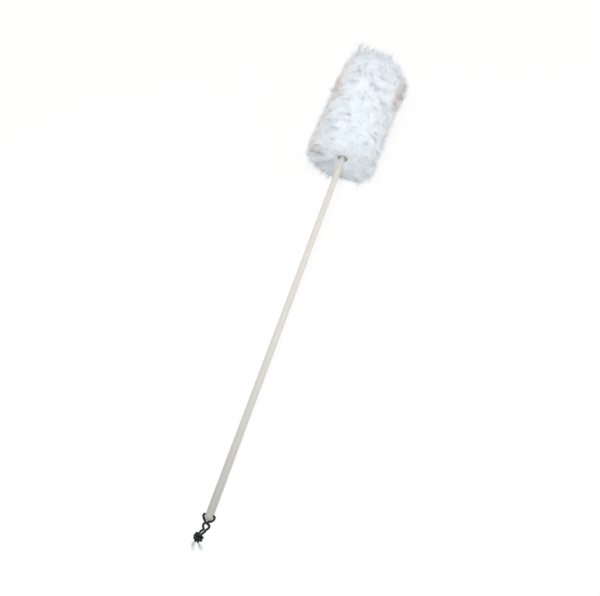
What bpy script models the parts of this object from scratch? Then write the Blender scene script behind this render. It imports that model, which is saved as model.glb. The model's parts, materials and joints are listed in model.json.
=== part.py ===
# Ostrich feather duster with a long turned wooden pole, lying on a surface.
# The pole narrows from a rounded butt to the head and runs on inside it as a
# core. Rows of short plumes stand round the core, each row's quills laid side
# by side and tied down by a binding. A cord goes through a cross hole near the
# butt, and its ends are tied in one knot: it swings in that hole.
# Metres. The duster is built along its own axis, which is local X of the empty
# duster_axis: x = 0 at the butt's tip, towards the head. World +X is towards
# the head too, +Z is up, and the surface it lies on is z = 0.

import math
import random

import bmesh
import bpy
import numpy as np
from mathutils import Vector

for old in list(bpy.data.objects):
    bpy.data.objects.remove(old, do_unlink=True)

# Pole
POLE_LENGTH = 0.887  # butt's tip to the collar's mouth
BUTT_RADIUS = 0.00825
NECK_RADIUS = 0.0065  # where the pole enters the head
BUTT_DOME = 0.009  # length of the rounded end
CORE_RADIUS = 0.005
CORE_PAST_TUFT = 0.004
SHOULDER_EASE = 0.0012
POLE_SEGMENTS = 24
TAPER_STEPS = 4

# Cross hole and cord
CORD_DIAMETER = 0.0046
HOLE_CLEARANCE = 0.00035  # round the cord
HOLE_FROM_BUTT = 0.0115
HOLE_EASE = 0.0008  # how far its mouths are eased
CROSSING_PAST_BUTT = 0.0042
EYE_LENGTH = 0.0163
EYE_HALF_WIDTH = 0.0056
EYE_ASIDE = -0.0006
KNOT_FROM_HOLE = 0.0472  # hole's axis to the knot's near end
KNOT_ASIDE = 0.004
KNOT_ROUNDS = 3  # whole turns, from upright, by which the wrapping strand is back in the core
KNOT_SWEEP = 163.5  # degrees that a strand turns through between core and wraps
KNOT_REACH = 0.43  # of the spacing, how far a strand swings out past the knot's ends
WRAP_PITCH = 1.165  # of the spacing
CORD_GAP = 0.0004  # between neighbouring strands in the knot
# Tails, from the knot's far end: along it, aside, and a share of the strand's height there
WRAPPED_TAIL = (
    (0.0082, -0.0036, 0.58),
    (0.0122, -0.0046, 0.2),
    (0.0185, -0.0022, 0.0),
    (0.0242, 0.0004, 0.0),
)
STRAIGHT_TAIL = (
    (0.0078, 0.0058, 0.26),
    (0.0104, 0.0096, 0.1),
    (0.0140, 0.0146, 0.0),
    (0.0178, 0.0196, 0.0),
)
FLOOR_GAP = 0.0002

# Head
FIT = 0.00025  # every seated piece to what carries it
ROWS = 12
QUILL_THICKNESS = 0.0015
QUILL_BAND = 0.010
FIRST_BAND = 0.021  # collar's mouth to the middle of the first row's quills
BAND_STEP = 0.0195
HEAD_RADIUS = 0.080
SKIRT_BACK = 0.007  # how far the skirt's tips hang back past the collar's mouth
HEAD_STRAIGHT = 0.216  # collar's mouth to where the rounded end starts
HEAD_DOME = 0.070
DOME_ROWS_TO = 62.0  # degrees round the dome that the last row's tips reach
PLUMES = 10  # in a row of full radius
PLUME_THICKNESS = 0.0062
PLUME_CAMBER = 0.0035
PLUME_TWIST = 20.0
PLUME_STAGGER = 0.0065  # every other plume's tip leans this far forward, the rest back
PLUME_UNEVEN = 0.0015  # and this much more or less at random
LEAST_LEAVING_ANGLE = 36.0  # least one to the core at which a plume leaves its quill
LONG_PLUME_SHARE = 1.24  # the two pointed tufts beside the tip
TUFT_PLUMES = 6
TUFT_RADIUS = 0.021
BINDING_WIDTH = 0.0068
BINDING_THICKNESS = 0.0014
BINDING_SEGMENTS = 12

# Collar: a cup round the pole, its mouth towards the butt
COLLAR_MOUTH_RADIUS = 0.0116
COLLAR_NOSE_RADIUS = 0.0088
COLLAR_LENGTH = 0.0125
COLLAR_WALL = 0.0013
COLLAR_DEPTH = 0.008

# How it lies: the skirt's lowest plumes press on the surface
REST_HEIGHT = 0.0735  # pole's axis above the surface, at the collar's mouth
REST_CUT = 0.0035  # depth of the flats on the plumes that it rests on

LEAN = math.asin((REST_HEIGHT - BUTT_RADIUS) / (POLE_LENGTH - BUTT_DOME))


def axis_height(x):
    """Height of the duster's axis above the surface, at x along it."""
    butt_drop = math.hypot(BUTT_DOME * math.sin(LEAN), BUTT_RADIUS * math.cos(LEAN))
    return butt_drop + (x - BUTT_DOME) * math.sin(LEAN)


duster_axis = bpy.data.objects.new("duster_axis", None)
duster_axis.empty_display_size = 0.05
duster_axis.rotation_euler = (0.0, -LEAN, 0.0)
duster_axis.location = (0.0, 0.0, axis_height(0.0))
bpy.context.scene.collection.objects.link(duster_axis)


def material(name, color, roughness):
    mat = bpy.data.materials.new(name)
    mat.use_nodes = True
    shader = mat.node_tree.nodes["Principled BSDF"]
    shader.inputs["Base Color"].default_value = (*color, 1.0)
    shader.inputs["Roughness"].default_value = roughness
    shader.inputs["Metallic"].default_value = 0.0
    mat.diffuse_color = (*color, 1.0)
    return mat


pale_wood = material("pale_wood", (0.62, 0.59, 0.52), 0.42)
grey_collar = material("grey_collar", (0.16, 0.16, 0.17), 0.55)
white_plume = material("white_plume", (0.86, 0.89, 0.93), 0.9)
thread = material("thread", (0.72, 0.70, 0.64), 0.8)
black_cord = material("black_cord", (0.022, 0.023, 0.025), 0.6)


def add_object(name, bm, mat, parent=duster_axis, smooth_below=40.0):
    bmesh.ops.recalc_face_normals(bm, faces=bm.faces)
    mesh = bpy.data.meshes.new(name)
    bm.to_mesh(mesh)
    bm.free()
    mesh.materials.append(mat)
    mesh.shade_smooth()
    mesh.set_sharp_from_angle(angle=math.radians(smooth_below))
    obj = bpy.data.objects.new(name, mesh)
    obj.parent = parent
    bpy.context.scene.collection.objects.link(obj)
    return obj


def turned(name, profile, mat, segments, ring=False):
    """A profile of (x, radius) spun round the duster's axis.
    A ring's profile closes on itself; any other runs from axis to axis."""
    bm = bmesh.new()
    points = [bm.verts.new((x, 0.0, -radius)) for x, radius in profile]
    pairs = list(zip(points, points[1:]))
    if ring:
        pairs.append((points[-1], points[0]))
    edges = [bm.edges.new(pair) for pair in pairs]
    bmesh.ops.spin(
        bm,
        geom=points + edges,
        cent=(0.0, 0.0, 0.0),
        axis=(1.0, 0.0, 0.0),
        angle=2.0 * math.pi,
        steps=segments,
        use_merge=True,
    )
    bmesh.ops.remove_doubles(bm, verts=bm.verts, dist=1e-6)
    return add_object(name, bm, mat)


# Handle: rounded butt, long taper, eased shoulder, core
tuft_band = POLE_LENGTH + FIRST_BAND + ROWS * BAND_STEP
core_end = tuft_band + QUILL_BAND / 2 + CORE_PAST_TUFT
shoulder = POLE_LENGTH + COLLAR_LENGTH + FIT


def handle_profile():
    profile = []
    for i in range(8):
        turn = math.radians(90.0 * i / 8)
        profile.append(
            (BUTT_DOME * (1 - math.cos(turn)), BUTT_RADIUS * math.sin(turn))
        )
    for i in range(TAPER_STEPS + 1):
        along = i / TAPER_STEPS
        profile.append(
            (
                BUTT_DOME + (POLE_LENGTH - BUTT_DOME) * along,
                BUTT_RADIUS + (NECK_RADIUS - BUTT_RADIUS) * along,
            )
        )
    profile += [
        (shoulder - SHOULDER_EASE, NECK_RADIUS),
        (shoulder, NECK_RADIUS - SHOULDER_EASE * 0.6),
        (shoulder, CORE_RADIUS),
        (core_end - CORE_RADIUS * 0.5, CORE_RADIUS),
        (core_end - CORE_RADIUS * 0.15, CORE_RADIUS * 0.8),
        (core_end, CORE_RADIUS * 0.4),
        (core_end, 0.0),
    ]
    return profile


handle = turned("handle", handle_profile(), pale_wood, POLE_SEGMENTS)

hole_radius = CORD_DIAMETER / 2 + HOLE_CLEARANCE


def hole_cutter():
    """The hole's own shape along Y, opening out where it meets the pole's surface."""
    half = BUTT_RADIUS
    profile = [
        (-half - 0.002, hole_radius + HOLE_EASE + 0.002),
        (-half + HOLE_EASE, hole_radius),
        (half - HOLE_EASE, hole_radius),
        (half + 0.002, hole_radius + HOLE_EASE + 0.002),
    ]
    bm = bmesh.new()
    points = [bm.verts.new((0.0, y, radius)) for y, radius in profile]
    first = bm.verts.new((0.0, profile[0][0], 0.0))
    last = bm.verts.new((0.0, profile[-1][0], 0.0))
    points = [first, *points, last]
    edges = [bm.edges.new(pair) for pair in zip(points, points[1:])]
    bmesh.ops.spin(
        bm,
        geom=points + edges,
        cent=(0.0, 0.0, 0.0),
        axis=(0.0, 1.0, 0.0),
        angle=2.0 * math.pi,
        steps=16,
        use_merge=True,
    )
    bmesh.ops.remove_doubles(bm, verts=bm.verts, dist=1e-6)
    cutter = add_object("cross_hole_cutter", bm, pale_wood)
    cutter.location = (HOLE_FROM_BUTT, 0.0, 0.0)
    cutter.hide_render = True
    cutter.display_type = "WIRE"
    return cutter


cross_hole = handle.modifiers.new("cross_hole", "BOOLEAN")
cross_hole.operation = "DIFFERENCE"
cross_hole.solver = "EXACT"
cross_hole.object = hole_cutter()

# Collar
bore = NECK_RADIUS + FIT
turned(
    "collar",
    [
        (POLE_LENGTH + 0.0004, COLLAR_MOUTH_RADIUS - COLLAR_WALL),
        (POLE_LENGTH, COLLAR_MOUTH_RADIUS - COLLAR_WALL * 0.6),
        (POLE_LENGTH, COLLAR_MOUTH_RADIUS - COLLAR_WALL * 0.25),
        (POLE_LENGTH + 0.0005, COLLAR_MOUTH_RADIUS),
        (POLE_LENGTH + COLLAR_DEPTH * 0.6, COLLAR_MOUTH_RADIUS * 0.97),
        (POLE_LENGTH + COLLAR_LENGTH - 0.0006, COLLAR_NOSE_RADIUS),
        (POLE_LENGTH + COLLAR_LENGTH, COLLAR_NOSE_RADIUS - 0.0006),
        (POLE_LENGTH + COLLAR_LENGTH, bore),
        (POLE_LENGTH + COLLAR_DEPTH, bore),
        (POLE_LENGTH + COLLAR_DEPTH * 0.8, bore + COLLAR_WALL * 0.6),
    ],
    grey_collar,
    POLE_SEGMENTS,
    ring=True,
)

# Plume rows
quill_inner = CORE_RADIUS + FIT
quill_outer = quill_inner + QUILL_THICKNESS
quill_middle = (quill_inner + quill_outer) / 2
# Stations along a plume: (share of its length, width as a share of the room
# that it has, thickness as a share of the thickest). Widths alternate between
# notch and tooth, which gives the barbs' fringe.
STATIONS = (
    (0.07, 0.84, 0.30),
    (0.22, 0.78, 0.66),
    (0.35, 0.93, 0.88),
    (0.47, 0.80, 1.00),
    (0.60, 0.94, 1.00),
    (0.71, 0.76, 0.88),
    (0.83, 0.80, 0.68),
    (0.93, 0.50, 0.38),
)


def radial(angle):
    """Unit vector away from the axis. Angle 0 is straight down, 90 degrees is +Y."""
    return Vector((0.0, math.sin(angle), -math.cos(angle)))


def on_axis_frame(x, radius, angle):
    return Vector((x, 0.0, 0.0)) + radius * radial(angle)


def bezier(p0, p1, p2, p3, t):
    point = p0 * (1 - t) ** 3 + p1 * 3 * t * (1 - t) ** 2
    point += p2 * 3 * t * t * (1 - t) + p3 * t**3
    slope = (p1 - p0) * 3 * (1 - t) ** 2 + (p2 - p1) * 6 * t * (1 - t)
    slope += (p3 - p2) * 3 * t * t
    return point, slope.normalized()


def reach_to_surface(x, angle):
    """Radius at which a plume whose tip is at x and angle has pressed REST_CUT into the surface."""
    down = math.cos(angle) * math.cos(LEAN)
    if down < 0.3:
        return math.inf
    return (axis_height(x) + REST_CUT) / down


def plume_row(name, band, tip, towards_tip, count, turn, seed, bend, stagger, longer=None):
    """One closed mesh: the quill band round the core, and count plumes standing out of one end.
    band is the band's middle and tip a plume's tip, as x and (x, radius).
    turn is in shares of a plume's pitch."""
    chance = random.Random(seed)
    side = 1.0 if towards_tip else -1.0
    root_x = band + side * QUILL_BAND / 2
    far_x = band - side * QUILL_BAND / 2
    pitch = 2.0 * math.pi / count
    bm = bmesh.new()

    def ring(x):
        corners = []
        for k in range(count):
            edge, spine = (k - 0.5 + turn) * pitch, (k + turn) * pitch
            corners.append(
                [
                    bm.verts.new(on_axis_frame(x, radius, angle))
                    for angle in (edge, spine)
                    for radius in (
                        (quill_inner, quill_outer)
                        if towards_tip
                        else (quill_outer, quill_inner)
                    )
                ]
            )
        return corners

    far, root = ring(far_x), ring(root_x)
    for k in range(count):
        ef0, eb0, sf0, sb0 = far[k]
        nf0, nb0 = far[(k + 1) % count][:2]
        ef1, eb1, sf1, sb1 = root[k]
        nf1, nb1 = root[(k + 1) % count][:2]
        for face in (
            (ef0, sf0, sb0, eb0),
            (sf0, nf0, nb0, sb0),
            (ef0, ef1, sf1, sf0),
            (sf0, sf1, nf1, nf0),
            (eb0, sb0, sb1, eb1),
            (sb0, nb0, nb1, sb1),
        ):
            bm.faces.new(face)

        middle = (k + turn) * pitch
        wander = chance.uniform(-0.02, 0.02) * pitch
        stretch = chance.uniform(0.965, 1.02)
        lift = chance.uniform(-PLUME_UNEVEN, PLUME_UNEVEN) + PLUME_STAGGER * (-1) ** k * stagger
        twist = math.radians(PLUME_TWIST) * chance.uniform(0.7, 1.15) * (-1) ** seed
        if longer == k:
            stretch = LONG_PLUME_SHARE
        tip_x = tip[0] + lift + (tip[0] - root_x) * (stretch - 1.0)
        tip_radius = min(tip[1] * stretch, reach_to_surface(tip_x, middle))
        start = Vector((root_x, quill_middle))
        end = Vector((tip_x, tip_radius))
        mean = math.atan2(end.y - start.y, end.x - start.x)
        out, over = mean - math.radians(bend[0]), mean + math.radians(bend[1])
        out = max(out, math.radians(LEAST_LEAVING_ANGLE))
        reach = (end - start).length
        p1 = start + 0.36 * reach * Vector((math.cos(out), math.sin(out)))
        p2 = end - 0.36 * reach * Vector((math.cos(over), math.sin(over)))
        rows = []
        for share, wide, thick in STATIONS:
            (x, radius), (ux, ur) = bezier(start, p1, p2, end, share)
            front = Vector((ur, -ux))
            half = PLUME_THICKNESS / 2 * thick
            room = pitch * wide / 2
            angle = middle + wander * share
            width = room * radius
            drop = PLUME_CAMBER * share
            tilt = width * math.sin(twist) * share

            def at(along_front, turned_by):
                return bm.verts.new(
                    on_axis_frame(
                        x + front.x * along_front,
                        radius + front.y * along_front,
                        angle + turned_by,
                    )
                )

            rows.append(
                (
                    at(-drop - tilt, -room),
                    at(half, 0.0),
                    at(-half, 0.0),
                    at(-drop + tilt, room),
                )
            )
        point = bm.verts.new(on_axis_frame(end.x, end.y, middle + wander))
        left, top, under, right = rows[0]
        for face in (
            (ef1, left, top, sf1),
            (sf1, top, right, nf1),
            (eb1, sb1, under, left),
            (sb1, nb1, right, under),
            (ef1, eb1, left),
            (nf1, right, nb1),
        ):
            bm.faces.new(face)
        for (l0, f0, b0, r0), (l1, f1, b1, r1) in zip(rows, rows[1:]):
            for face in (
                (l0, l1, f1, f0),
                (f0, f1, r1, r0),
                (l0, b0, b1, l1),
                (b0, r0, r1, b1),
            ):
                bm.faces.new(face)
        left, top, under, right = rows[-1]
        for face in (
            (left, point, top),
            (top, point, right),
            (left, under, point),
            (under, right, point),
        ):
            bm.faces.new(face)

    # The surface cuts a flat on each plume that presses on it.
    up = Vector((math.sin(LEAN), 0.0, math.cos(LEAN)))
    ground = Vector((0.0, 0.0, 0.0)) - up * axis_height(0.0)
    cut = bmesh.ops.bisect_plane(
        bm,
        geom=bm.verts[:] + bm.edges[:] + bm.faces[:],
        dist=1e-7,
        plane_co=ground,
        plane_no=up,
        clear_inner=True,
    )
    rim = [e for e in cut["geom_cut"] if isinstance(e, bmesh.types.BMEdge)]
    if rim:
        bmesh.ops.holes_fill(bm, edges=rim, sides=0)
    return add_object(name, bm, white_plume, smooth_below=55.0)


def binding(name, band, towards_tip):
    """A winding over the end of a quill band that the plumes don't leave from."""
    side = 1.0 if towards_tip else -1.0
    middle = band - side * (QUILL_BAND - BINDING_WIDTH) / 2
    inner = quill_outer + FIT
    outer = inner + BINDING_THICKNESS
    half = BINDING_WIDTH / 2
    ease = BINDING_THICKNESS * 0.4
    turned(
        name,
        [
            (middle - half, inner),
            (middle - half, outer - ease),
            (middle, outer),
            (middle + half, outer - ease),
            (middle + half, inner),
        ],
        thread,
        BINDING_SEGMENTS,
        ring=True,
    )


def outline_at(distance):
    """(x, radius) of the head's outline, distance along it from the skirt."""
    straight = HEAD_STRAIGHT + SKIRT_BACK
    if distance <= straight:
        return POLE_LENGTH - SKIRT_BACK + distance, HEAD_RADIUS
    left, turn = distance - straight, 0.0
    step = math.radians(0.5)
    while left > 0.0:
        left -= step * math.hypot(
            HEAD_DOME * math.cos(turn), HEAD_RADIUS * math.sin(turn)
        )
        turn += step
    return (
        POLE_LENGTH + HEAD_STRAIGHT + HEAD_DOME * math.sin(turn),
        HEAD_RADIUS * math.cos(turn),
    )


def outline_length():
    step = math.radians(0.5)
    steps = int(DOME_ROWS_TO / 0.5)
    return (
        HEAD_STRAIGHT
        + SKIRT_BACK
        + sum(
            step
            * math.hypot(HEAD_DOME * math.cos(i * step), HEAD_RADIUS * math.sin(i * step))
            for i in range(steps)
        )
    )


row_step = outline_length() / (ROWS - 1)
long_plumes = {10: 90.0, 11: 105.0}
for i in range(ROWS):
    band = POLE_LENGTH + FIRST_BAND + i * BAND_STEP
    tip = outline_at(i * row_step)
    towards_tip = i > 1
    count = max(6, round(PLUMES * tip[1] / HEAD_RADIUS))
    turn = 0.5 if i % 2 == 0 else 0.0
    longer = None
    if i in long_plumes:
        longer = round(long_plumes[i] / 360.0 * count - turn) % count
    bend = (30.0, 36.0) if towards_tip else (4.0, 14.0)
    stagger = 0.35 if i == 0 else 1.0 if count % 2 == 0 else 0.5
    number = f"{i + 1:02d}"
    plume_row(
        f"plume_row_{number}",
        band,
        tip,
        towards_tip,
        count,
        turn,
        i,
        bend,
        stagger,
        longer,
    )
    binding(f"binding_{number}", band, towards_tip)

plume_row(
    "tip_tuft",
    tuft_band,
    (POLE_LENGTH + HEAD_STRAIGHT + HEAD_DOME, TUFT_RADIUS),
    True,
    TUFT_PLUMES,
    0.25,
    ROWS,
    (10.0, 6.0),
    0.5,
)
binding("tip_binding", tuft_band, True)

# Hanging cord: one unbroken run from tail to tail, through the hole
cord_pivot = bpy.data.objects.new("cord_pivot", None)
cord_pivot.empty_display_size = 0.02
hole_height = axis_height(HOLE_FROM_BUTT)
hole_x = HOLE_FROM_BUTT * math.cos(LEAN)
cord_pivot.location = (hole_x, 0.0, hole_height)
bpy.context.scene.collection.objects.link(cord_pivot)

cord_radius = CORD_DIAMETER / 2
ground_z = -hole_height + cord_radius + FLOOR_GAP
spacing = CORD_DIAMETER + CORD_GAP
core_offset = spacing / math.sqrt(3.0)
wrap_radius = core_offset + spacing
core_angles = (120.0, 240.0)
wrap_angles = (core_angles[1] + KNOT_SWEEP, 360.0 * KNOT_ROUNDS - KNOT_SWEEP)
knot_reach = KNOT_REACH * spacing
wraps_past = 0.45 * knot_reach
knot_length = (wrap_angles[1] - wrap_angles[0]) / 360.0 * WRAP_PITCH * spacing - 2 * wraps_past
knot_aim = Vector((-1.0, 0.10, 0.0)).normalized()
knot_aside = Vector((-knot_aim.y, knot_aim.x, 0.0))
knot_start = Vector((-KNOT_FROM_HOLE, KNOT_ASIDE, ground_z + wrap_radius))
# A strand's way between core and wraps past the knot's end: shares of the
# reach, of the spacing from the core outwards, and of the sweep's turning
turn_back = (
    (0.48, 0.07, 0.03),
    (0.88, 0.29, 0.12),
    (1.0, 0.58, 0.27),
    (0.91, 0.84, 0.45),
    (0.76, 0.98, 0.65),
    (0.6, 1.0, 0.83),
)


def in_knot(along, radius, angle):
    """A point round the knot's own axis. Angle 0 is up, in degrees."""
    turn = math.radians(angle)
    return (
        knot_start
        + knot_aim * along
        + knot_aside * (radius * math.sin(turn))
        + Vector((0.0, 0.0, radius * math.cos(turn)))
    )


def strand(side, wraps):
    """Route of one half of the cord, from the hole's middle to its tail's end."""
    mouth = BUTT_RADIUS + 0.0004
    beside = BUTT_RADIUS + cord_radius
    past = HOLE_FROM_BUTT + CROSSING_PAST_BUTT
    over = spacing + 0.0004 if wraps else 0.0
    wide = -side * EYE_HALF_WIDTH
    route = [
        (0.0, 0.0, 0.0),
        (0.0, side * mouth * 0.5, 0.0),
        (-0.0001, side * mouth, 0.0),
        (-0.0018, side * (beside + 0.0007), -0.0006),
        (-0.0050, side * (beside + 0.0005), -0.0022),
        (-0.0080, side * (beside - 0.0014), 0.62 * ground_z),
        (-0.0114, side * (beside - 0.0048), 0.88 * ground_z + 0.35 * over),
        (-past, 0.6 * EYE_ASIDE, ground_z + over),
        (-past - 0.20 * EYE_LENGTH, wide + EYE_ASIDE, ground_z + 0.5 * over),
        (-past - 0.50 * EYE_LENGTH, wide + EYE_ASIDE, ground_z + 0.05 * over),
        (-past - 0.80 * EYE_LENGTH, 0.48 * wide + EYE_ASIDE, ground_z),
        (-past - 1.10 * EYE_LENGTH, 0.64 * wide + 0.0016, ground_z + 0.0012),
    ]
    points = [Vector(p) for p in route]
    run_in = (-0.004, 0.0, knot_length * 0.5, knot_length)
    run_out = (0.0, knot_length * 0.5, knot_length, knot_length + 0.004)
    if wraps:
        points += [in_knot(a, core_offset, core_angles[1]) for a in run_in]
        for out, rise, turn in turn_back:
            angle = core_angles[1] + KNOT_SWEEP * turn
            along = knot_length + knot_reach * out
            points.append(in_knot(along, core_offset + spacing * rise, angle))
        steps = round((wrap_angles[1] - wrap_angles[0]) / 18.0)
        for i in range(steps + 1):
            share = i / steps
            along = knot_length + wraps_past - share * (knot_length + 2 * wraps_past)
            angle = wrap_angles[0] + share * (wrap_angles[1] - wrap_angles[0])
            points.append(in_knot(along, wrap_radius, angle))
        for out, rise, turn in turn_back[::-1]:
            angle = wrap_angles[1] + KNOT_SWEEP * (1.0 - turn)
            points.append(in_knot(-knot_reach * out, core_offset + spacing * rise, angle))
        points += [in_knot(a, core_offset, 0.0) for a in run_out]
    else:
        points += [in_knot(a, core_offset, core_angles[0]) for a in run_in[:1] + run_out]
    height = points[-1].z - ground_z
    for along, aside, high in WRAPPED_TAIL if wraps else STRAIGHT_TAIL:
        point = knot_start + knot_aim * (knot_length + along) + knot_aside * aside
        point.z = ground_z + height * high
        points.append(point)
    return points


def smooth_route(points, step):
    """Even points read from the Catmull-Rom curve through points."""
    dense = []
    padded = [points[0] * 2 - points[1], *points, points[-1] * 2 - points[-2]]
    for a, b, c, d in zip(padded, padded[1:], padded[2:], padded[3:]):
        ab, bc, cd = ((q - p).length ** 0.5 for p, q in ((a, b), (b, c), (c, d)))
        for i in range(12):
            t = ab + bc * i / 12
            p = a * ((ab - t) / ab) + b * (t / ab)
            q = b * ((ab + bc - t) / bc) + c * ((t - ab) / bc)
            r = c * ((ab + bc + cd - t) / cd) + d * ((t - ab - bc) / cd)
            s = p * ((ab + bc - t) / (ab + bc)) + q * (t / (ab + bc))
            u = q * ((ab + bc + cd - t) / (bc + cd)) + r * ((t - ab) / (bc + cd))
            dense.append(s * ((ab + bc - t) / bc) + u * ((t - ab) / bc))
    dense.append(points[-1])
    line = np.array([p[:] for p in dense])
    run = np.concatenate([[0.0], np.cumsum(np.linalg.norm(np.diff(line, axis=0), axis=1))])
    count = max(2, round(run[-1] / step))
    at = np.linspace(0.0, run[-1], count + 1)
    return np.stack([np.interp(at, run, line[:, k]) for k in range(3)], axis=1)


def least_gap(line, thickness):
    """Least surface gap between parts of the line over 2.5 thicknesses apart along it."""
    fine = np.concatenate(
        [line[:-1] + (line[1:] - line[:-1]) * share for share in (0.0, 0.25, 0.5, 0.75)]
    )
    order = np.concatenate([np.arange(len(line) - 1) + share for share in (0.0, 0.25, 0.5, 0.75)])
    step = float(np.linalg.norm(line[1] - line[0]))
    gap = np.linalg.norm(fine[:, None] - fine[None], axis=2)
    gap[np.abs(order[:, None] - order[None]) * step < 2.5 * thickness] = np.inf
    return float(gap.min()) - thickness


route = strand(1.0, False)[::-1] + strand(-1.0, True)[1:]
line = smooth_route(route, CORD_DIAMETER * 0.7)
own_gap = 1000 * least_gap(line, CORD_DIAMETER)
print(f"hang_cord: {len(line)} points, least gap to itself {own_gap:.2f} mm")

cord_curve = bpy.data.curves.new("hang_cord", "CURVE")
cord_curve.dimensions = "3D"
cord_curve.bevel_depth = cord_radius
cord_curve.bevel_resolution = 2
cord_curve.use_fill_caps = True
cord_curve.twist_mode = "MINIMUM"
spline = cord_curve.splines.new("POLY")
spline.points.add(len(line) - 1)
spline.points.foreach_set("co", np.column_stack([line, np.ones(len(line))]).ravel())
cord_curve.materials.append(black_cord)
hang_cord = bpy.data.objects.new("hang_cord", cord_curve)
hang_cord.parent = cord_pivot
bpy.context.scene.collection.objects.link(hang_cord)

# The middle of the duster's own box, without the cord, goes over the origin.
bpy.context.view_layer.update()
graph = bpy.context.evaluated_depsgraph_get()
low, high = Vector((9, 9, 9)), Vector((-9, -9, -9))
for obj in bpy.context.scene.objects:
    if obj.type != "MESH" or obj.hide_render:
        continue
    solid = obj.evaluated_get(graph)
    for vertex in solid.data.vertices:
        place = solid.matrix_world @ vertex.co
        low = Vector(map(min, low, place))
        high = Vector(map(max, high, place))
shift = Vector(((low.x + high.x) / 2, (low.y + high.y) / 2, 0.0))
for root in (duster_axis, cord_pivot):
    root.location -= shift
print("lowest point", f"{1000 * low.z:.3f} mm", "box", [round(1000 * v, 1) for v in high - low])
print("cord pivot", [round(v, 6) for v in cord_pivot.location])
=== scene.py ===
import json
import math

import bpy
import numpy as np
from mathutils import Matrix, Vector


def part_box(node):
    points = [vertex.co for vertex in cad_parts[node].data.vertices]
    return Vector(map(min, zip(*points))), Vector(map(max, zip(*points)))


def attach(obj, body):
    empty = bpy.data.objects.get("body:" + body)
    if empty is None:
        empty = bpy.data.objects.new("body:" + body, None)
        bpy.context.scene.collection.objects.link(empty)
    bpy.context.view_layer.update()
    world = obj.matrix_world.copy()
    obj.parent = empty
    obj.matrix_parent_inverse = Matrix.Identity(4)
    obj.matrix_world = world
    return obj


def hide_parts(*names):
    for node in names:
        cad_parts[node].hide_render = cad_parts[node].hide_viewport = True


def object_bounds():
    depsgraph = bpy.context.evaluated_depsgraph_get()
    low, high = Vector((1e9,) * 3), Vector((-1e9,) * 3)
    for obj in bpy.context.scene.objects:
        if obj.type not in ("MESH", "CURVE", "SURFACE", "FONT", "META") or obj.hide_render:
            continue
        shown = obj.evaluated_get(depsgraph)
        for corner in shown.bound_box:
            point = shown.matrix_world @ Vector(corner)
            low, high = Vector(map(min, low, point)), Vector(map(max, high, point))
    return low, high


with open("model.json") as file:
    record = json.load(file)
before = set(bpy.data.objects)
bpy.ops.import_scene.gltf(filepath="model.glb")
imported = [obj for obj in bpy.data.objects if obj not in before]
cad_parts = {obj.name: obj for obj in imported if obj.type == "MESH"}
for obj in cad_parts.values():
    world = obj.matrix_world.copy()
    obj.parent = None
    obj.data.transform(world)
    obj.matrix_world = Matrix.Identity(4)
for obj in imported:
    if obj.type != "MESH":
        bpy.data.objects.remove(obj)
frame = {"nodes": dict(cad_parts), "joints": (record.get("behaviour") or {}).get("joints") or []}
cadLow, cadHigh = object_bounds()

# Duster's own line: x = 0 at the butt's tip, towards the head
duster = {
    "poleLength": 0.887,  # butt's tip to the collar's mouth
    "buttRadius": 0.00825,
    "buttDome": 0.009,
    "restHeight": 0.0735,  # axis above the floor at the collar's mouth
    "boreClearance": 0.0004,  # cord's way out past the butt's side
}
leanAngle = math.asin(
    (duster["restHeight"] - duster["buttRadius"]) / (duster["poleLength"] - duster["buttDome"])
)
leanSin, leanCos = math.sin(leanAngle), math.cos(leanAngle)


def axisHeight(x):
    dome = math.hypot(duster["buttDome"] * leanSin, duster["buttRadius"] * leanCos)
    return dome + (x - duster["buttDome"]) * leanSin


handleLow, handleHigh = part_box("handle")
domeReach = math.hypot(duster["buttDome"] * leanCos, duster["buttRadius"] * leanSin)
buttX = handleLow.x + domeReach - duster["buttDome"] * leanCos
axisStart = np.array([buttX, (handleLow.y + handleHigh.y) / 2, axisHeight(0.0)])
axisFrame = np.array([[leanCos, 0.0, leanSin], [0.0, 1.0, 0.0], [-leanSin, 0.0, leanCos]])


def toFloor(points):
    # from the duster's own line to the row frame
    return axisStart + points @ axisFrame


def fromFloor(points):
    return (points - axisStart) @ axisFrame.T


# Camera: level, at the handle's end and to one side, looking down
photoCamera = {
    "lens": 80.0,
    "place": (-1.5286, -0.4934, 2.4003),
    "heading": 18.01,
    "tiltDown": 56.88,
}


def newObject(name, data):
    thing = bpy.data.objects.new(name, data)
    bpy.context.scene.collection.objects.link(thing)
    return thing


def lookAlong(thing, place, way):
    thing.location = place
    thing.rotation_euler = way.to_track_quat("-Z", "Y").to_euler()


def makeCamera():
    data = bpy.data.cameras.new("photoCamera")
    data.lens, data.sensor_width = photoCamera["lens"], 36.0
    data.clip_start, data.clip_end = 0.05, 60.0
    camera = newObject("photoCamera", data)
    heading, down = math.radians(photoCamera["heading"]), math.radians(photoCamera["tiltDown"])
    level = math.cos(down)
    way = Vector((math.cos(heading) * level, math.sin(heading) * level, -math.sin(down)))
    lookAlong(camera, photoCamera["place"], way)
    bpy.context.scene.camera = camera


makeCamera()
print("camera set")


# Node helpers
def addNode(tree, kind, values=None, **settings):
    # values are given to the node's inputs by name or number, and a socket is linked
    node = tree.nodes.new(kind)
    for key, value in settings.items():
        setattr(node, key, value)
    fillInputs(tree, node, values or {})
    return node


def fillInputs(tree, node, values):
    for key, value in values.items():
        socket = node.inputs[key]
        if isinstance(value, bpy.types.NodeSocket):
            tree.links.new(value, socket)
        else:
            socket.default_value = (*value, 1.0) if socket.type == "RGBA" else value


def calculate(tree, operation, first, second, **settings):
    values = {0: first, 1: second}
    return addNode(tree, "ShaderNodeMath", values, operation=operation, **settings).outputs[0]


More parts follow.
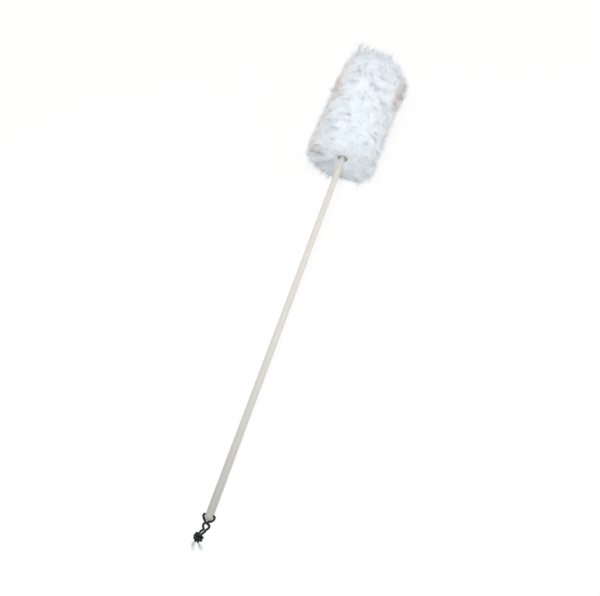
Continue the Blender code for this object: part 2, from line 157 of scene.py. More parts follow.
def mixColours(tree, share, first, second):
    node = addNode(tree, "ShaderNodeMix", data_type="RGBA")
    fillInputs(tree, node, {"Factor": share, 6: first, 7: second})
    return node.outputs[2]


def mixShaders(tree, output, share, first, second):
    mix = addNode(tree, "ShaderNodeMixShader", {"Fac": share, 1: first, 2: second})
    tree.links.new(mix.outputs[0], tree.nodes[output].inputs["Surface"])


def mottleGroup():
    # uneven tone between two colours
    group = bpy.data.node_groups.new("mottle", "ShaderNodeTree")
    for name, side, kind, value in (
        ("Vector", "INPUT", "NodeSocketVector", None),
        ("Light", "INPUT", "NodeSocketColor", (0.8, 0.8, 0.8, 1.0)),
        ("Dark", "INPUT", "NodeSocketColor", (0.5, 0.5, 0.5, 1.0)),
        ("Scale", "INPUT", "NodeSocketFloat", 100.0),
        ("Contrast", "INPUT", "NodeSocketFloat", 1.0),
        ("Color", "OUTPUT", "NodeSocketColor", None),
        ("Mask", "OUTPUT", "NodeSocketFloat", None),
    ):
        socket = group.interface.new_socket(name=name, in_out=side, socket_type=kind)
        if value is not None:
            socket.default_value = value
    into, out = addNode(group, "NodeGroupInput"), addNode(group, "NodeGroupOutput")
    values = {name: into.outputs[name] for name in ("Vector", "Scale")}
    values.update({"Detail": 4.0, "Roughness": 0.55})
    noise = addNode(group, "ShaderNodeTexNoise", values).outputs["Fac"]
    centred = calculate(group, "SUBTRACT", noise, 0.5)
    stronger = calculate(group, "MULTIPLY", centred, into.outputs["Contrast"])
    mask = calculate(group, "ADD", stronger, 0.5, use_clamp=True)
    colour = mixColours(group, mask, into.outputs["Light"], into.outputs["Dark"])
    fillInputs(group, out, {"Color": colour, "Mask": mask})
    return group


mottle = mottleGroup()


def placeMottle(tree, places, light, dark, scale, contrast):
    node = tree.nodes.new("ShaderNodeGroup")
    node.node_tree = mottle
    values = {"Vector": places, "Light": light, "Dark": dark}
    fillInputs(tree, node, {"Scale": scale, "Contrast": contrast, **values})
    return node.outputs


def newMaterial(name, values):
    material = bpy.data.materials.new(name)
    material.use_nodes = True
    tree = material.node_tree
    shader = tree.nodes["Principled BSDF"]
    fillInputs(tree, shader, values)
    return material, tree, shader


def objectPlaces(tree):
    return addNode(tree, "ShaderNodeTexCoord").outputs["Object"]


def dusterPlaces(tree, stretch):
    # object coordinates turned to the duster's own line
    turn = {"Vector": objectPlaces(tree), "Rotation": (0.0, leanAngle, 0.0), "Scale": stretch}
    return addNode(tree, "ShaderNodeMapping", turn).outputs["Vector"]


def addBump(tree, height, strength, distance):
    values = {"Height": height, "Strength": strength, "Distance": distance}
    return addNode(tree, "ShaderNodeBump", values).outputs["Normal"]


def mottledMaterial(name, values):
    # a finish uneven in tone, its unevenness also standing up as low bumps
    material, tree, shader = newMaterial(name, values["shader"])
    places = dusterPlaces(tree, values["stretch"]) if "stretch" in values else objectPlaces(tree)
    tone = placeMottle(tree, places, *values["mottle"])
    fillInputs(tree, shader, {"Base Color": tone["Color"]})
    if "bump" in values:
        fillInputs(tree, shader, {"Normal": addBump(tree, tone["Mask"], *values["bump"])})
    return material


# Mesh helpers
def giveBakeMap(mesh):
    # each face gets a cell of its own in a baked picture, where thin barbs would have no width
    count = len(mesh.polygons)
    cells = math.ceil(math.sqrt(count))
    at = np.arange(count)
    corners = np.array([(0.2, 0.2), (0.8, 0.2), (0.8, 0.8), (0.2, 0.8)])
    places = (np.stack([at % cells, at // cells], -1)[:, None] + corners) / cells
    bakeMap = mesh.uv_layers.new(name="OFBake")
    bakeMap.uv.foreach_set("vector", places.astype(np.float32).ravel())


def meshFrom(name, points, quads, material):
    mesh = bpy.data.meshes.new(name)
    mesh.vertices.add(len(points))
    mesh.vertices.foreach_set("co", np.asarray(points, np.float32).ravel())
    mesh.loops.add(4 * len(quads))
    mesh.loops.foreach_set("vertex_index", np.asarray(quads, np.int32).ravel())
    mesh.polygons.add(len(quads))
    mesh.polygons.foreach_set("loop_start", np.arange(len(quads), dtype=np.int32) * 4)
    mesh.update(calc_edges=True)
    mesh.shade_smooth()
    mesh.materials.append(material)
    giveBakeMap(mesh)
    return newObject(name, mesh)


def unit(vectors):
    return vectors / np.maximum(np.linalg.norm(vectors, axis=-1, keepdims=True), 1e-12)


def gridQuads(stations, columns, closed):
    spans = columns if closed else columns - 1
    k, j = np.meshgrid(np.arange(stations - 1), np.arange(spans), indexing="ij")
    a, b = k * columns + j, k * columns + (j + 1) % columns
    return np.stack([a, b, b + columns, a + columns], -1).reshape(-1, 4)


def repeated(quads, count, points):
    # the same faces for each of count pieces that have so many points
    return (quads + (np.arange(count) * points)[:, None, None]).reshape(-1, 4)


def runOf(lengths):
    return np.concatenate([[0.0], np.cumsum(lengths)])


def stepShares(steps):
    return (np.arange(steps + 1) / steps)[:, None]


def tubes(lines, radii, sides):
    # closed tubes along lines (tube, station, 3), radii (tube, station) or (tube, station, sides)
    count, stations = lines.shape[:2]
    tangent = unit(np.gradient(lines, axis=1))
    across = np.cross(tangent[:, 0], np.array([0.31, 0.22, 0.93]))
    frames = [unit(across)]
    for k in range(1, stations):
        last = frames[-1]
        frames.append(unit(last - tangent[:, k] * (last * tangent[:, k]).sum(-1, keepdims=True)))
    first = np.stack(frames, 1)
    second = np.cross(tangent, first)
    turn = np.arange(sides) * 2 * math.pi / sides
    if radii.ndim == 2:
        radii = radii[..., None]
    rings = lines[:, :, None] + radii[..., None] * (
        first[:, :, None] * np.cos(turn)[:, None] + second[:, :, None] * np.sin(turn)[:, None]
    )
    ends = lines[:, (0, -1)]
    per = stations * sides + 2
    points = np.concatenate([rings.reshape(count, -1, 3), ends], axis=1).reshape(-1, 3)
    half = np.arange(0, sides, 2)
    start, end = stations * sides, stations * sides + 1
    low = np.stack([half * 0 + start, (half + 2) % sides, half + 1, half], -1)
    top = (stations - 1) * sides
    high = np.stack([half * 0 + end, top + half, top + half + 1, top + (half + 2) % sides], -1)
    one = np.concatenate([gridQuads(stations, sides, True), low, high])
    return points, repeated(one, count, per)


# Hanging cord: one run through the cross hole, its ends tied in one knot
cord = {
    "diameter": 0.0046,
    "strandGap": 0.0004,
    "holeFromButt": 0.0115,
    "crossingPastButt": 0.0042,
    "eyeLength": 0.0163,
    "eyeHalfWidth": 0.0056,
    "eyeAside": -0.0006,
    "knotFromHole": 0.0472,
    "knotAside": 0.004,
    "knotRounds": 3,
    "knotSweep": 163.5,  # degrees that a strand turns through between core and wraps
    "knotReach": 0.43,
    "wrapPitch": 1.165,
    # past the knot: along it, aside, and a share of the strand's height there
    "wrappedTail": (
        (0.0082, -0.0036, 0.58),
        (0.0122, -0.0046, 0.2),
        (0.0185, -0.0022, 0.0),
        (0.0242, 0.0004, 0.0),
    ),
    "straightTail": (
        (0.0078, 0.0058, 0.26),
        (0.0104, 0.0096, 0.1),
        (0.0140, 0.0146, 0.0),
        (0.0178, 0.0196, 0.0),
    ),
    "leftSheath": 0.0830,  # hole's middle to the end of the sheath
    "rightSheath": 0.2059,
    "frayLength": 0.022,  # the tail's end, which has lost its sheath
    "floorGap": 0.0002,
    "braidHeight": 0.00009,
    "braidPitch": 0.0026,
    "braidRound": 5,  # strands that cross one way round the cord
    "sides": 20,
    "step": 0.0003,
    "sheath": {
        "shader": {"Roughness": 0.6, "Specular IOR Level": 0.25},
        "mottle": ((0.016, 0.018, 0.019), (0.005, 0.006, 0.006), 900.0, 2.2),
        "bump": (0.5, 0.0001),
    },
    "fibres": 100,
    "fibreThickness": 0.00020,
    "fibreSteps": 9,
    "fibreSway": 0.00045,
    "fibre": {
        "shader": {"Roughness": 0.7, "Sheen Weight": 0.2},
        "mottle": ((0.90, 0.94, 0.90), (0.62, 0.69, 0.65), 420.0, 2.6),
    },
}
cordPivot = np.array(next(j for j in frame["joints"] if j["name"] == "cord_swing")["pos_m"])
cordRadius = cord["diameter"] / 2
cordSpacing = cord["diameter"] + cord["strandGap"]
coreOffset = cordSpacing / math.sqrt(3.0)
wrapRadius = coreOffset + cordSpacing
groundZ = -cordPivot[2] + cordRadius + cord["floorGap"]
coreAngles = (120.0, 240.0)
knotSweep = cord["knotSweep"]
wrapAngles = (coreAngles[1] + knotSweep, 360.0 * cord["knotRounds"] - knotSweep)
knotReach = cord["knotReach"] * cordSpacing
wrapsPast = 0.45 * knotReach
wrapTurns = (wrapAngles[1] - wrapAngles[0]) / 360.0
knotLength = wrapTurns * cord["wrapPitch"] * cordSpacing - 2 * wrapsPast
# a strand's way between core and wraps past the knot's end: shares of the
# reach, of the spacing from the core outwards, and of the sweep's turning
turnBack = (
    (0.48, 0.07, 0.03),
    (0.88, 0.29, 0.12),
    (1.0, 0.58, 0.27),
    (0.91, 0.84, 0.45),
    (0.76, 0.98, 0.65),
    (0.6, 1.0, 0.83),
)
knotAim = unit(np.array([-1.0, 0.10, 0.0]))
knotSide = np.array([-knotAim[1], knotAim[0], 0.0])
knotStart = np.array([-cord["knotFromHole"], cord["knotAside"], groundZ + wrapRadius])


def inKnot(along, radius, angle):
    turn = math.radians(angle)
    lift = np.array([0.0, 0.0, radius * math.cos(turn)])
    return knotStart + knotAim * along + knotSide * (radius * math.sin(turn)) + lift


def strandRoute(side, wraps):
    mouth = duster["buttRadius"] + duster["boreClearance"]
    beside = duster["buttRadius"] + cordRadius
    past = cord["holeFromButt"] + cord["crossingPastButt"]
    over = cordSpacing + cord["strandGap"] if wraps else 0.0
    eye, aside = cord["eyeLength"], cord["eyeAside"]
    wide = -side * cord["eyeHalfWidth"]
    route = [
        (0.0, 0.0, 0.0),
        (0.0, side * mouth * 0.5, 0.0),
        (-0.0001, side * mouth, 0.0),
        (-0.0018, side * (beside + 0.0007), -0.0006),
        (-0.0050, side * (beside + 0.0005), -0.0022),
        (-0.0080, side * (beside - 0.0014), 0.62 * groundZ),
        (-0.0114, side * (beside - 0.0048), 0.88 * groundZ + 0.35 * over),
        (-past, 0.6 * aside, groundZ + over),
        (-past - 0.20 * eye, wide + aside, groundZ + 0.5 * over),
        (-past - 0.50 * eye, wide + aside, groundZ + 0.05 * over),
        (-past - 0.80 * eye, 0.48 * wide + aside, groundZ),
        (-past - 1.10 * eye, 0.64 * wide + 0.0016, groundZ + 0.0012),
    ]
    points = [np.array(p) for p in route]
    runIn = (-0.004, 0.0, knotLength * 0.5, knotLength)
    runOut = (0.0, knotLength * 0.5, knotLength, knotLength + 0.004)
    if wraps:
        points += [inKnot(a, coreOffset, coreAngles[1]) for a in runIn]
        for out, rise, turn in turnBack:
            angle = coreAngles[1] + knotSweep * turn
            along = knotLength + knotReach * out
            points.append(inKnot(along, coreOffset + cordSpacing * rise, angle))
        steps = round(wrapTurns * 20)
        for i in range(steps + 1):
            share = i / steps
            along = knotLength + wrapsPast - share * (knotLength + 2 * wrapsPast)
            points.append(inKnot(along, wrapRadius, wrapAngles[0] + share * wrapTurns * 360.0))
        for out, rise, turn in turnBack[::-1]:
            angle = wrapAngles[1] + knotSweep * (1.0 - turn)
            points.append(inKnot(-knotReach * out, coreOffset + cordSpacing * rise, angle))
        points += [inKnot(a, coreOffset, 0.0) for a in runOut]
    else:
        points += [inKnot(a, coreOffset, coreAngles[0]) for a in runIn[:1] + runOut]
    height = points[-1][2] - groundZ
    for along, out, high in cord["wrappedTail" if wraps else "straightTail"]:
        point = knotStart + knotAim * (knotLength + along) + knotSide * out
        point[2] = groundZ + height * high
        points.append(point)
    return np.array(points)


def evenRoute(points, step):
    # even points on the centripetal Catmull-Rom curve through points
    padded = np.concatenate([[2 * points[0] - points[1]], points, [2 * points[-1] - points[-2]]])
    dense = []
    for a, b, c, d in zip(padded, padded[1:], padded[2:], padded[3:]):
        ab, bc, cd = (np.linalg.norm(q - p) ** 0.5 for p, q in ((a, b), (b, c), (c, d)))
        t = (ab + bc * np.arange(12) / 12)[:, None]
        p = a * (ab - t) / ab + b * t / ab
        q = b * (ab + bc - t) / bc + c * (t - ab) / bc
        r = c * (ab + bc + cd - t) / cd + d * (t - ab - bc) / cd
        s = p * (ab + bc - t) / (ab + bc) + q * t / (ab + bc)
        u = q * (ab + bc + cd - t) / (bc + cd) + r * (t - ab) / (bc + cd)
        dense.append(s * (ab + bc - t) / bc + u * (t - ab) / bc)
    line = np.concatenate([*dense, [points[-1]]])
    run = runOf(np.linalg.norm(np.diff(line, axis=0), axis=1))
    at = np.linspace(0.0, run[-1], max(2, round(run[-1] / step)) + 1)
    return np.stack([np.interp(at, run, line[:, k]) for k in range(3)], axis=1), run[-1]


def braidedCord(name, line, run, material):
    sides = cord["sides"]
    turn = np.arange(sides) * 2 * math.pi / sides
    along = np.linspace(0.0, run, len(line))[:, None] * 2 * math.pi / cord["braidPitch"]
    one = np.sin(cord["braidRound"] * turn + along)
    other = np.sin(cord["braidRound"] * turn - along)
    radii = cordRadius - cord["braidHeight"] * (0.5 - 0.5 * one * other)
    points, quads = tubes(line[None], radii[None], sides)
    return meshFrom(name, points, quads, material)


def frayedEnd(name, line, seed, material):
    # line is the stretch that the fibres take, from inside the sheath to their tips
    chance = np.random.default_rng(seed)
    count, stations = cord["fibres"], cord["fibreSteps"]
    share = np.linspace(0.0, 1.0, stations)
    reach = chance.uniform(0.5, 1.0, count)
    at = share * reach[:, None] * (len(line) - 1)
    spine = np.stack([np.interp(at, np.arange(len(line)), line[:, k]) for k in range(3)], -1)
    angle = chance.uniform(0.0, 2 * math.pi, count)
    out = np.sqrt(chance.uniform(0.02, 1.0, count)) * cordRadius * 0.8
    aim = unit(line[-1] - line[0])
    side = unit(np.cross(aim, [0.0, 0.0, 1.0]))
    top = np.cross(side, aim)
    spread = 1.0 + share**1.3 * chance.uniform(0.4, 3.2, (count, 1))
    wave = np.sin(share * chance.uniform(4.0, 9.0, (count, 1)) + angle[:, None])
    sway = chance.normal(0.0, cord["fibreSway"], (count, 2))[:, None]
    sway = sway * (share * wave)[..., None]
    lines = (
        spine
        + side * (np.cos(angle)[:, None] * out[:, None] * spread + sway[..., 0])[..., None]
        + top * (np.sin(angle)[:, None] * out[:, None] * spread * 0.7 + sway[..., 1])[..., None]
    )
    lines[..., 2] = np.maximum(lines[..., 2], cord["fibreThickness"] * 0.75)
    radii = cord["fibreThickness"] / 2 * (1.0 - 0.5 * share**2) * np.ones((count, 1))
    points, quads = tubes(lines, radii, 4)
    return meshFrom(name, points, quads, material)


def makeCord():
    sheath = mottledMaterial("blackCord", cord["sheath"])
    fibre = mottledMaterial("frayedFibre", cord["fibre"])
    halves = [
        ("cordLeft", 1.0, False, cord["leftSheath"]),
        ("cordRight", -1.0, True, cord["rightSheath"]),
    ]
    for seed, (name, side, wraps, length) in enumerate(halves):
        route, whole = evenRoute(strandRoute(side, wraps) + cordPivot, cord["step"])
        run = whole - cord["frayLength"]
        keep = round(len(route) * run / whole)
        line = route[:keep]
        piece = braidedCord(name, line, run, sheath)
        ends = frayedEnd(name + "Fray", route[keep - 6 :], seed + 40, fibre)
        for part in (piece, ends):
            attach(part, "cord")
            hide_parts("hang_cord")
        print(name, "run", round(1000 * run, 1), "mm, whole", round(1000 * whole, 1), "mm")


makeCord()
print("cord made")

# Plumes: rows round the core, leaning from the skirt to the tip
head = {
    "rows": 12,
    "coreRadius": 0.00525,
    "quillThickness": 0.0015,
    "quillBand": 0.010,
    "firstBand": 0.021,
    "bandStep": 0.0195,
    "headRadius": 0.080,
    "skirtBack": 0.007,
    "headStraight": 0.216,
    "headDome": 0.070,
    "domeRowsTo": 62.0,
    "plumes": 20,  # in a row of full radius
    "barbs": 90,  # on each side of a shaft
    "barbLength": 0.021,
    "barbWidth": 0.0005,
    "barbSteps": 5,
    "barbFan": (60.0, 44.0),  # degrees off the shaft at its foot, and less at its tip
    "barbClump": 7,
    "down": 16,  # for each shaft
    "downLength": 0.026,
    "downWidth": 0.0008,
    "downSteps": 4,
    "bladeHalfWidth": 0.0145,
    "bladeDroop": 0.0022,
    "bladeTo": 0.82,  # of the shaft's length
    "bladeSteps": 13,
    "bladeColumns": 9,
    "cushionDepth": 0.0065,
    "cushionLumps": 0.0022,
    "cushionWaves": (7, 11, 17, 23, 31),
    "cushionSteps": 12,
    "cushionColumns": 96,
    "shaftThickness": 0.0011,
    "shaftSteps": 14,
    "leavePull": 0.40,  # of the shaft's reach, how long it keeps its leaving angle
    "arrivePull": 0.44,
    "softShare": 0.3,
    "longPlume": 1.15,
    "tipSlant": 0.010,
    "tipInside": 0.008,
    "tuftPlumes": 9,
    "tuftRadius": 0.021,
}
# loose barbs over the head's face
loose = {
    "toSquareMetre": 80000,
    "length": 0.019,
    "width": 0.0005,
    "depth": 0.002,
    "steps": 5,
    "soft": 0.6,
    "strays": 0.45,  # share that stands well out
    "strayRise": 0.6,
    "rise": (0.02, 0.30),
    "sweep": 0.30,
    "overhang": (0.004, 0.036),  # past the collar's mouth, where they hang back over the rim
    "overhangLonger": 1.3,
    "denseReach": 0.012,  # how far they lie denser round the skirt's rim
    "rimReach": 0.015,
    "rimLonger": 0.35,
}
# what keeps the plumes off the pole, near the head and above the surface
limits = {
    "foldIn": 0.005,
    "poleClear": 0.0074,
    "collarClear": 0.0122,
    "collarFrom": -0.0006,  # past the collar's mouth
    "collarTo": 0.014,
    "edge": 0.004,  # inside the head's radius, from where strays are drawn in
    "strayShare": 0.55,
    "reach": 1.165,  # of the head's radius
    "floorGap": 0.0005,
    "shaftFloor": 0.0002,
    "sunkShare": 0.04,
    "pastTip": 0.006,
}
# each row's leaving and arriving angle against its straight line, and its tips' shift
rowLeans = [
    (-6.0, 22.0, 0.004),
    (-8.0, 34.0, 0.001),
    (-22.0, 52.0, -0.004),
    (-22.0, 54.0, -0.006),
    (-20.0, 50.0, -0.006),
    (-14.0, 38.0, -0.004),
    (-4.0, 14.0, 0.0),
    (10.0, -16.0, 0.003),
    (18.0, -34.0, 0.006),
    (24.0, -40.0, 0.007),
    (26.0, -38.0, 0.005),
    (24.0, -30.0, 0.002),
    (6.0, -8.0, 0.0),
]
longPlumes = {10: 128.0, 11: 150.0}  # row, and degrees round from below
# how plumes differ within a row: ranges, or how far either way
plumeChance = {
    "stretch": (0.93, 1.03),
    "turn": 0.12,  # of the pitch between plumes
    "wander": 0.5,
    "twist": (18.0, 9.0),  # degrees, the second for the skirt
    "tip": 0.008,
    "leave": 5.0,
    "arrive": 14.0,
}
swellLength, swellTurn = 0.035, 0.7  # each swell's reach along the head and round it
# where the head swells or shrinks: past the collar's mouth, degrees round from below, share
swells = [
    (0.214, -105.0, 0.16),
    (0.004, -88.0, -0.06),
    (0.235, 72.0, -0.15),
    (-0.004, 70.0, 0.05),
    (0.035, 105.0, 0.06),
    (-0.004, -45.0, 0.07),
    (0.26, -160.0, -0.07),
    (-0.012, 180.0, -0.14),
]
# folds and streaks of painted shade: (past the mouth, radius, degrees) of both ends, half width,
# depth of the painted shade; the folds also press the plumes in
foldsWithPaintedShade = [
    ((-0.006, 0.016, 55.0), (-0.006, 0.081, 55.0), 0.008, 0.75),
    ((-0.004, 0.046, 93.0), (0.0, 0.067, 93.0), 0.006, 0.6),
]
# painted shade: a dark arch round the pole's entry and dark strokes between the tufts
paintedShadeStreaks = [
    ((-0.002, 0.0135, 85.0), (-0.002, 0.0135, 135.0), 0.0045, 0.8),
    ((-0.002, 0.0135, 135.0), (-0.002, 0.0135, 180.0), 0.0045, 0.8),
    ((-0.002, 0.0135, 180.0), (-0.002, 0.0135, 221.0), 0.0045, 0.8),
    ((0.068, 0.078, 160.0), (0.068, 0.078, 178.0), 0.003, 0.8),
    ((0.0515, 0.078, 142.0), (0.0515, 0.078, 186.0), 0.003, 0.5),
    ((0.206, 0.078, 161.0), (0.1775, 0.079, 170.0), 0.0032, 0.6),
    ((0.2105, 0.078, 171.0), (0.181, 0.079, 180.0), 0.0032, 0.6),
    ((0.193, 0.078, 184.0), (0.164, 0.078, 198.0), 0.0032, 0.55),
    ((0.1286, 0.078, 188.0), (0.098, 0.078, 190.0), 0.0032, 0.5),
    ((0.1405, 0.078, 213.0), (0.133, 0.078, 234.0), 0.0045, 0.5),
    ((0.0085, 0.078, 217.0), (0.032, 0.078, 224.0), 0.004, 0.55),
    ((0.044, 0.078, 218.0), (0.046, 0.078, 247.0), 0.004, 0.45),
    ((0.228, 0.074, -128.0), (0.2, 0.082, -113.0), 0.012, 0.2),
    ((0.024, 0.078, 152.0), (0.024, 0.078, 156.0), 0.01, 0.18),
    ((0.119, 0.078, 135.0), (0.119, 0.078, 139.0), 0.009, 0.18),
]
tints = [
    ((0.19, 0.078, 116.0), (0.147, 0.078, 127.0), 0.016, 0.38),
    ((0.212, 0.084, -112.0), (0.165, 0.08, -104.0), 0.015, 0.5),
]
# painted shade: the head's flanks warmer and darker, as its rims shade
paintedShadeFlanks = [
    ((0.25, 0.07, 116.0), (0.0, 0.078, 110.0), 0.036, 0.5),
    ((0.25, 0.07, -112.0), (0.0, 0.078, -104.0), 0.032, 0.12),
]
headRadius, headDome = head["headRadius"], head["headDome"]
poleLength = duster["poleLength"]
tipX = poleLength + head["headStraight"] + headDome
quillMiddle = head["coreRadius"] + head["quillThickness"] / 2


def domeSteps(degrees):
    # angles round the dome, and the outline's length from each to the next
    turns = np.radians(np.arange(0.0, degrees, 0.25))
    steps = np.hypot(headDome * np.cos(turns), headRadius * np.sin(turns))
    return turns, steps * math.radians(0.25)


def outlineAt(distance):
    # (x, radius) of the head's outline, distance along it from the skirt
    straight = head["headStraight"] + head["skirtBack"]
    if distance <= straight:
        return poleLength - head["skirtBack"] + distance, headRadius
    turns, steps = domeSteps(90.0)
    turn = float(np.interp(distance - straight, np.cumsum(steps), turns))
    x = poleLength + head["headStraight"] + headDome * math.sin(turn)
    return x, headRadius * math.cos(turn)


def outlineLength(degrees):
    straight = head["headStraight"] + head["skirtBack"]
    return straight + float(domeSteps(degrees)[1].sum())


def aboutAxis(angle):
    # the ways out from the duster's line and round it, at angles from below
    zero = np.zeros_like(angle)
    out = np.stack([zero, np.sin(angle), -np.cos(angle)], -1)
    return out, np.stack([zero, np.cos(angle), np.sin(angle)], -1)


ahead = np.array([1.0, 0.0, 0.0])


def plumeLines(row, shares):
    # places, tangents, sides, outer faces and ways out (plume, share, 3) of a row's shafts
    start = np.array([row["root"], quillMiddle])
    ends = np.stack([row["tipX"], row["tipRadius"]], -1)
    mean = np.arctan2(ends[:, 1] - start[1], ends[:, 0] - start[0])
    leave, arrive = mean + row["leave"], mean + row["arrive"]
    reach = np.linalg.norm(ends - start, axis=1)[:, None]
    leavePull, arrivePull = head["leavePull"], head["arrivePull"]
    p1 = start + leavePull * reach * np.stack([np.cos(leave), np.sin(leave)], -1)
    p2 = ends - arrivePull * reach * np.stack([np.cos(arrive), np.sin(arrive)], -1)
    t = shares[..., None]
    p1, p2, p3 = p1[:, None], p2[:, None], ends[:, None]
    flat = start * (1 - t) ** 3 + p1 * 3 * t * (1 - t) ** 2 + p2 * 3 * t * t * (1 - t) + p3 * t**3
    slope = (p1 - start) * (1 - t) ** 2 + (p2 - p1) * 2 * t * (1 - t) + (p3 - p2) * t * t
    slope = unit(slope)
    angle = row["angle"][:, None] + row["wander"][:, None] * shares**1.5
    out, around = aboutAxis(angle)
    places = ahead * flat[..., :1] + out * flat[..., 1:]
    tangent = ahead * slope[..., :1] + out * slope[..., 1:]
    front = ahead * slope[..., 1:] - out * slope[..., :1]
    turned = (front * outwardAt(places)).sum(-1).sum(-1) < 0
    front = front * np.where(turned, -1.0, 1.0)[:, None, None]
    twist = row["twist"][:, None] * (0.35 + 0.65 * shares)
    side = around * np.cos(twist)[..., None] + front * np.sin(twist)[..., None]
    front = front * np.cos(twist)[..., None] - around * np.sin(twist)[..., None]
    return places, tangent, side, front, out


def outwardAt(points):
    # the way out of the head at points on the duster's line, as if it were one soft pillow
    half = (head["headStraight"] + head["skirtBack"] + headDome) / 2
    middle = tipX - half
    share = np.clip((points[..., 0] - middle) / half, -1.0, 1.0)
    away = points * (2.0 / headRadius**2)
    away[..., 0] = np.where(share < 0.0, 2.2, 4.0) * share**3 / half
    return unit(away)


def onHead(place):
    x, radius, degrees = place
    turn = math.radians(degrees)
    return np.array([poleLength + x, radius * math.sin(turn), -radius * math.cos(turn)])


def depthOf(points, marks):
    # how much each point lies in the marks, each a soft stroke between two places
    depth = np.zeros(points.shape[:-1])
    for start, end, half, strength in marks:
        start, end = onHead(start), onHead(end)
        along = end - start
        share = np.clip((points - start) @ along / (along @ along), 0.0, 1.0)
        away = np.linalg.norm(points - start - share[..., None] * along, axis=-1)
        depth = np.maximum(depth, strength * np.exp(-((away / half) ** 2)))
    return depth


def turnApart(turn, degrees):
    return (turn - math.radians(degrees) + math.pi) % (2 * math.pi) - math.pi


def swellAt(points):
    turn = np.arctan2(points[..., 1], -points[..., 2])
    past = points[..., 0] - poleLength
    swell = np.zeros(points.shape[:-1])
    for x, degrees, share in swells:
        aside = turnApart(turn, degrees)
        swell += share * np.exp(-(((past - x) / swellLength) ** 2) - (aside / swellTurn) ** 2)
    return swell


def keepInHead(points):
    # clear of the pole and its collar, inside the head's reach and above the floor
    points[..., 0] += limits["foldIn"] * depthOf(points, foldsWithPaintedShade)
    swell = 1.0 + swellAt(points)
    points[..., 1:] *= swell[..., None]
    radius = np.linalg.norm(points[..., 1:], axis=-1)
    beforeCollar = points[..., 0] < poleLength + limits["collarFrom"]
    clear = np.where(beforeCollar, limits["poleClear"], limits["collarClear"])
    clear = np.where(points[..., 0] < poleLength + limits["collarTo"], clear, 0.0)
    push = np.where(radius < clear, clear / np.maximum(radius, 1e-6), 1.0)
    far = (headRadius - limits["edge"]) * swell
    stray = far + limits["strayShare"] * (radius - far)
    stray = np.minimum(stray, headRadius * limits["reach"])
    push = np.where(radius > far, stray / radius, push)
    points[..., 1:] *= push[..., None]
    placed = toFloor(points)
    height, low = placed[..., 2], limits["floorGap"]
    placed[..., 2] = np.where(height < low, low + limits["sunkShare"] * (low - height), height)
    placed[..., 0] = np.minimum(placed[..., 0], cadHigh.x + limits["pastTip"])
    return placed


def softNormals(points, own, soft=head["softShare"]):
    # a barb's own normal, drawn to the head's: barbs in a soft mass shade each other alike
    outward = outwardAt(points)
    own = unit(own) * np.where((own * outward).sum(-1, keepdims=True) < 0, -1.0, 1.0)
    return unit(outward * soft + own * (1.0 - soft)) @ axisFrame


def ribbonsAlong(lines, uneven, halfWidth, soft=head["softShare"]):
    # flat ribbons along lines (..., station, 3), their faces turned out of the head
    lines, uneven = lines.reshape(-1, *lines.shape[-2:]), uneven.reshape(-1, 3)
    count, stations = lines.shape[:2]
    run = unit(np.gradient(lines, axis=-2))
    facing = unit(outwardAt(lines[:, stations // 2]) + uneven)
    across = unit(np.cross(run, facing[:, None, :])) * halfWidth[:, None]
    points = np.stack([lines - across, lines + across], -2).reshape(-1, 3)
    own = np.cross(across, run).repeat(2, axis=-2).reshape(-1, 3)
    quads = repeated(gridQuads(stations, 2, False), count, 2 * stations)
    return keepInHead(points), quads, softNormals(points, own, soft)


def gridNormals(points):
    return np.cross(np.gradient(points, axis=-2), np.gradient(points, axis=-3))


def softSheet(points, quads, own, tone):
    points, own = points.reshape(-1, 3), own.reshape(-1, 3)
    return keepInHead(points.copy()), quads, softNormals(points, own), tone


def spreadTone(parts, shape):
    # a point's plume's tone, its share along the barb, its barb's own tone, its share of the shaft
    return np.stack([np.broadcast_to(part, shape) for part in parts], -1).reshape(-1, 4)


def barbTones(row, chance, each, t, q):
    own = chance.uniform(0.0, 1.0, (len(row["angle"]), each))[..., None, None]
    parts = [row["tone"][:, None, None, None], t, own, q[..., None, None]]
    return spreadTone(parts, (len(row["angle"]), each, len(t), 2))


